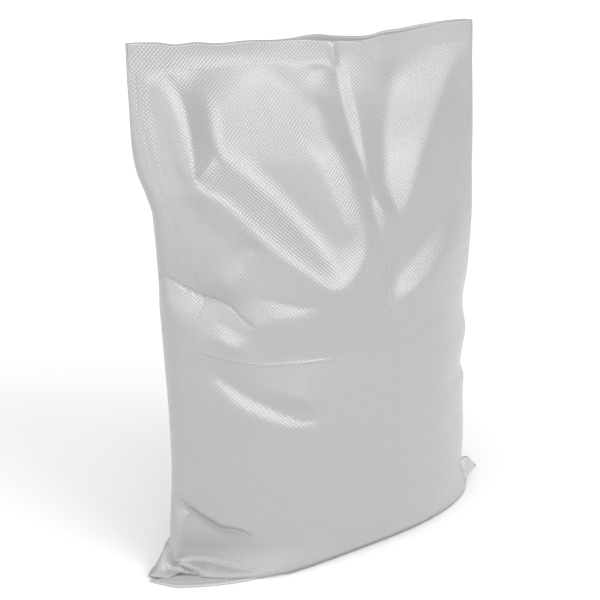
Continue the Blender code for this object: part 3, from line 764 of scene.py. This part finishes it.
mouth_looper = sewn(
    "mouth_looper_thread_row", sewn_places - looper_depth * sewn_out, HEM_STITCH,
    (THREAD_HALF, THREAD_HALF, HEM_LOOP_HALF), spun_polyester("white_looper_thread", "#b8b8b8")
)
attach(mouth_looper, "root")
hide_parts("mouth_looper_thread")

# Sewn end
# The foot of the flattened tube, folded over once into a strip 25 mm wide and sewn through. It lies under
# the sack, comes out from under it at the front left as a flap, and ends in an ear at each side.
SEAM_WIDTH = 0.025
SEAM_THICK = 0.0024
SEAM_INSET = 0.008
SEAM_BOW = 0.072
FLOOR_GAP = 0.0003
SEAM_HALF = 0.255
SEAM_POSTS = np.array((
    (-0.266, -0.004), (-0.66 * SEAM_HALF, -SEAM_BOW), (-0.24 * SEAM_HALF, -1.3 * SEAM_BOW), (0.268, 0.002)
))
LEFT_TAPER, RIGHT_TAPER, TIP_SHARE = 0.10, 0.06, 0.04
RIGHT_EAR_FROM, RIGHT_EAR_CROWN = 0.86, 0.85
RIGHT_EAR_RISE, RIGHT_EAR_DEEP = 0.016, 0.024


def seam_places(t, inward):
    """Places along the sewn end, by their share of its width from the outer edge inward."""
    t = np.asarray(t)[:, None]
    a, b, c, d = SEAM_POSTS
    place = (1 - t) ** 3 * a + 3 * t * (1 - t) ** 2 * b + 3 * t * t * (1 - t) * c + t**3 * d
    run = 3 * (1 - t) ** 2 * (b - a) + 6 * t * (1 - t) * (c - b) + 3 * t * t * (d - c)
    run /= np.linalg.norm(run, axis=1, keepdims=True)
    full = np.minimum(1, np.minimum(t / LEFT_TAPER, (1 - t) / RIGHT_TAPER))
    taper = TIP_SHARE + (1 - TIP_SHARE) * full
    side = SEAM_WIDTH * (0.5 - inward)
    place = place + side * taper * np.stack([run[:, 1], -run[:, 0]], 1)
    at_ear = np.clip((t[:, 0] - RIGHT_EAR_FROM) / (1 - RIGHT_EAR_FROM), 0, 1)
    to_crown = at_ear / RIGHT_EAR_CROWN
    swell = np.minimum(to_crown, (1 - at_ear) / (1 - RIGHT_EAR_CROWN))
    rise = RIGHT_EAR_RISE * np.minimum(to_crown, 1) ** 2 + RIGHT_EAR_DEEP * inward * swell
    return np.column_stack([place, rise])


seam_t = np.linspace(0, 1, 121)
seam_low = np.stack([seam_places(seam_t, inward) for inward in np.linspace(1, 0, 9)], 1)
seam_low[:, :, 2] += FLOOR_GAP
seam_high = seam_low + (0, 0, SEAM_THICK)
loop = np.concatenate([seam_low, seam_high[:, ::-1]], 1)
steps, around = loop.shape[:2]
ids = np.arange(steps * around).reshape(steps, around)
nexts = np.roll(ids, -1, axis=1)
seam_faces = np.stack([ids[:-1], ids[1:], nexts[1:], nexts[:-1]], 2).reshape(-1, 4).tolist()
seam_faces += [ids[0].tolist(), ids[-1][::-1].tolist()]
seam_mesh = bpy.data.meshes.new("sewn_end")
seam_mesh.from_pydata(loop.reshape(-1, 3).tolist(), [], seam_faces)
seam_mesh.shade_smooth()
sewn_end = bpy.data.objects.new("sewn_end", seam_mesh)
bpy.context.scene.collection.objects.link(sewn_end)
seam_uv = seam_mesh.uv_layers.new(name="cloth")
seam_corners = np.zeros(len(seam_mesh.loops), np.int32)
seam_mesh.loops.foreach_get("vertex_index", seam_corners)
seam_uv.data.foreach_set("uv", loop.reshape(-1, 3)[seam_corners][:, :2].astype(np.float32).ravel())
# Same cloth as the tube, tinted paler here: painted light for the light from above on the up-facing flap and
# ears
sewn_end.data.materials.append(
    woven_polypropylene("folded_woven_polypropylene_painted_lit", ("#a8a8a8", "#b2b2b2"), 0.36, 0.00015, {})
)
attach(sewn_end, "root")
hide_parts("bottom_seam_fold")
seam_length = float(np.linalg.norm(np.diff(seam_places(seam_t, 0.5), axis=0), axis=1).sum())

# Thread of the sewn end
# The same white thread, at 8 mm a stitch, along the strip 8 mm from its outer edge.
END_STITCH = 0.008
END_DASH_HALF, END_LOOP_HALF = 0.0033, 0.0036
END_PROUD = 0.0001
LOOPER_LIFT, LOOPER_FLAT_HALF = 0.0002, 0.0003
end_path = seam_places(np.linspace(0.03, 0.97, 120), SEAM_INSET / SEAM_WIDTH)
end_needle = sewn(
    "bottom_needle_thread_row", end_path + (0, 0, FLOOR_GAP + SEAM_THICK + END_PROUD), END_STITCH,
    (THREAD_HALF, THREAD_HALF, END_DASH_HALF), bpy.data.materials["white_needle_thread"]
)
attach(end_needle, "root")
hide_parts("bottom_needle_thread")
end_looper = sewn(
    "bottom_looper_thread_row", end_path + (0, 0, FLOOR_GAP + LOOPER_LIFT), END_STITCH,
    (THREAD_HALF, LOOPER_FLAT_HALF, END_LOOP_HALF), bpy.data.materials["white_looper_thread"]
)
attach(end_looper, "root")
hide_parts("bottom_looper_thread")

# Goods
# A loose fill that packs the lower half of the sack and ends in a low heap, seen only from over the mouth.
# It is drawn a little narrower than the space inside the wall, so that no fold reaches it.
GOODS_FOOT, GOODS_HEIGHT = 0.014, 0.330
HEAP_RISE, HEAP_EDGE = 0.030, 0.020
GOODS_LEVELS = 14
GOODS_SHRINK = np.array((0.88, 0.90, 1.0))
goods_rings = []
for level in np.linspace(GOODS_FOOT, GOODS_HEIGHT - HEAP_EDGE, GOODS_LEVELS):
    ring = wall[int(np.argmin(np.abs(row_heights - level))), ::3].copy()
    ring[:, 2] = level
    middle = (ring.min(0) + ring.max(0)) / 2
    goods_rings.append(middle + (ring - middle) * GOODS_SHRINK)
heap_ring = goods_rings[-1]
for shrink in (0.97, 0.9, 0.7, 0.4, 0.1):
    level = GOODS_HEIGHT - HEAP_EDGE + (HEAP_RISE + HEAP_EDGE) * (1 - shrink**2)
    goods_rings.append(middle * (1, 1, 0) + (heap_ring - middle) * (shrink, shrink, 0) + (0, 0, level))
goods_rings.insert(0, goods_rings[0] * (0.9, 0.8, 1) - (0, 0, 0.004))
goods_points = np.concatenate(goods_rings)
ids = np.arange(len(goods_points)).reshape(len(goods_rings), -1)
nexts = np.roll(ids, -1, axis=1)
goods_faces = np.stack([ids[:-1], nexts[:-1], nexts[1:], ids[1:]], 2).reshape(-1, 4).tolist()
goods_faces += [ids[0][::-1].tolist(), ids[-1].tolist()]
goods_mesh = bpy.data.meshes.new("goods")
goods_mesh.from_pydata(goods_points.tolist(), [], goods_faces)
goods_mesh.shade_smooth()
goods = bpy.data.objects.new("goods", goods_mesh)
bpy.context.scene.collection.objects.link(goods)
grain = bpy.data.materials.new("loose_granules")
grain.use_nodes = True
grain_shader = grain.node_tree.nodes["Principled BSDF"]
grain_shader.inputs["Base Color"].default_value = linear("#9a948a")
grain_shader.inputs["Roughness"].default_value = 0.8
grain_place = add_node(grain.node_tree, "ShaderNodeTexCoord").outputs["Object"]
GRAIN = 0.004
grain_cells = add_node(grain.node_tree, "ShaderNodeTexVoronoi", {"Vector": grain_place, "Scale": 1 / GRAIN})
grain_bump = add_node(
    grain.node_tree, "ShaderNodeBump", {"Height": grain_cells.outputs["Distance"], "Distance": -0.002}
)
grain.node_tree.links.new(grain_bump.outputs["Normal"], grain_shader.inputs["Normal"])
goods.data.materials.append(grain)
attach(goods, "root")
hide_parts("bulk_fill")

# Floor and light
# A plain white floor in a light tent that is brighter at the front than at the back, with three soft lights:
# one for the glints at the front, a broad one from the left and a weak one from above.
bpy.ops.mesh.primitive_plane_add(size=30)
floor = bpy.context.object
floor.name = "floor"
floor.location = (0, 0, -0.0005)
floor_paint = bpy.data.materials.new("white_floor")
floor_paint.use_nodes = True
floor_shader = floor_paint.node_tree.nodes["Principled BSDF"]
floor_shader.inputs["Base Color"].default_value = linear("#fbfbfb")
floor_shader.inputs["Roughness"].default_value = 0.9
floor.data.materials.append(floor_paint)

world = bpy.data.worlds.new("light_tent")
world.use_nodes = True
tent = world.node_tree.nodes["Background"]
tent.inputs["Color"].default_value = (1, 1, 1, 1)
LIGHT_FRONT, LIGHT_BACK = 0.98, 0.56
AWAY = (0.4, 0.917, 0)
sky = add_node(world.node_tree, "ShaderNodeTexCoord").outputs["Generated"]
to_back = add_node(
    world.node_tree, "ShaderNodeVectorMath", {0: sky, 1: AWAY}, operation="DOT_PRODUCT"
).outputs["Value"]
shade = add_node(world.node_tree, "ShaderNodeMapRange", {
    "Value": to_back, "From Min": -0.7, "From Max": 0.7, "To Min": LIGHT_FRONT, "To Max": LIGHT_BACK,
})
world.node_tree.links.new(shade.outputs["Result"], tent.inputs["Strength"])
bpy.context.scene.world = world


def soft_light(name, azimuth, elevation, spread, strength):
    """A distant round soft light, by its direction and width in degrees as seen from the sack."""
    data = bpy.data.lights.new(name, "SUN")
    data.energy = strength
    data.angle = math.radians(spread)
    light = bpy.data.objects.new(name, data)
    light.rotation_euler = (math.radians(90 - elevation), 0, math.radians(azimuth))
    bpy.context.scene.collection.objects.link(light)


soft_light("front_light", 24, 32, 36, 1.05)
soft_light("left_light", -58, 10, 100, 1.4)
soft_light("top_light", -35, 79, 40, 0.25)
bpy.context.scene.view_settings.view_transform = "Standard"
